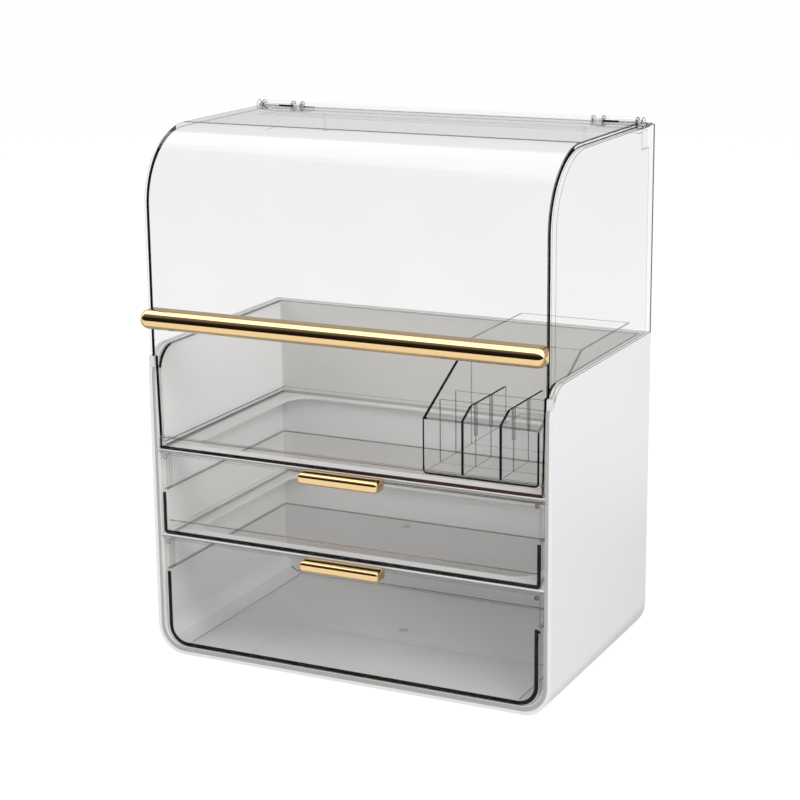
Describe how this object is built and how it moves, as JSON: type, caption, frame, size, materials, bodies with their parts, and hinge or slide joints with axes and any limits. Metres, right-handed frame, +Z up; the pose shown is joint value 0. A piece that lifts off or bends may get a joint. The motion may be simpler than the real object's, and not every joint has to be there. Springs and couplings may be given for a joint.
{
  "type": "makeup organizer",
  "caption": "Desk-top cosmetics organizer with smoky drawers, an open tray under a clear flip-up dust lid with a gold bar, and a lift-out lipstick rack.",
  "frame": {"origin": "on the surface that the organizer stands on, below the middle of the body", "axes": "+X to the right as seen from the front, +Y to the back, +Z up; the drawers open towards -Y"},
  "size_m": [0.3, 0.1955, 0.3748],
  "materials": {
    "body": "satin white, moulded ABS",
    "smoky_clear": "smoky transparent, moulded polystyrene",
    "clear": "clear, polished, moulded polystyrene",
    "rack_clear": "clear, polished, moulded polystyrene",
    "gold": "gold electroplated, mirror bright",
    "dark_steel": "blackened",
    "bumper": "soft, translucent white",
    "button": "dark grey"
  },
  "bodies": {
    "base": {"body_shell": "body", "divider_frame": "body", "tray_frame": "body", "top_tray": "smoky_clear", "surround": "clear", "left_hinge_bracket": "clear", "right_hinge_bracket": "clear", "left_hinge_pin": "dark_steel", "right_hinge_pin": "dark_steel", "lid_rest_bumpers": "bumper"},
    "lid": {"lid": "clear", "lid_bar": "gold", "lid_bar_screws": "dark_steel"},
    "upper_drawer": {"upper_drawer_tub": "smoky_clear", "upper_drawer_front": "smoky_clear", "upper_drawer_pull": "gold", "upper_drawer_screws": "dark_steel", "upper_drawer_buttons": "button"},
    "lower_drawer": {"lower_drawer_tub": "smoky_clear", "lower_drawer_front": "smoky_clear", "lower_drawer_pull": "gold", "lower_drawer_screws": "dark_steel", "lower_drawer_buttons": "button"},
    "rack": {"rack_shell": "rack_clear", "rack_partition": "rack_clear", "rack_long_divider_left": "rack_clear", "rack_long_divider_right": "rack_clear", "rack_cross_divider_front": "rack_clear", "rack_cross_divider_rear": "rack_clear"}
  },
  "joints": [
    {"name": "lid_hinge", "type": "hinge", "parent": "base", "child": "lid", "pos_m": [0, 0.07, 0.3712], "axis": [-1, 0, 0], "range_deg": [0, 105]},
    {"name": "upper_drawer_slide", "type": "slide", "parent": "base", "child": "upper_drawer", "axis": [0, -1, 0], "range_m": [0, 0.125]},
    {"name": "lower_drawer_slide", "type": "slide", "parent": "base", "child": "lower_drawer", "axis": [0, -1, 0], "range_m": [0, 0.125]},
    {"name": "rack_lift", "type": "slide", "parent": "base", "child": "rack", "axis": [0, 0, 1], "range_m": [0, 0.11]}
  ]
}
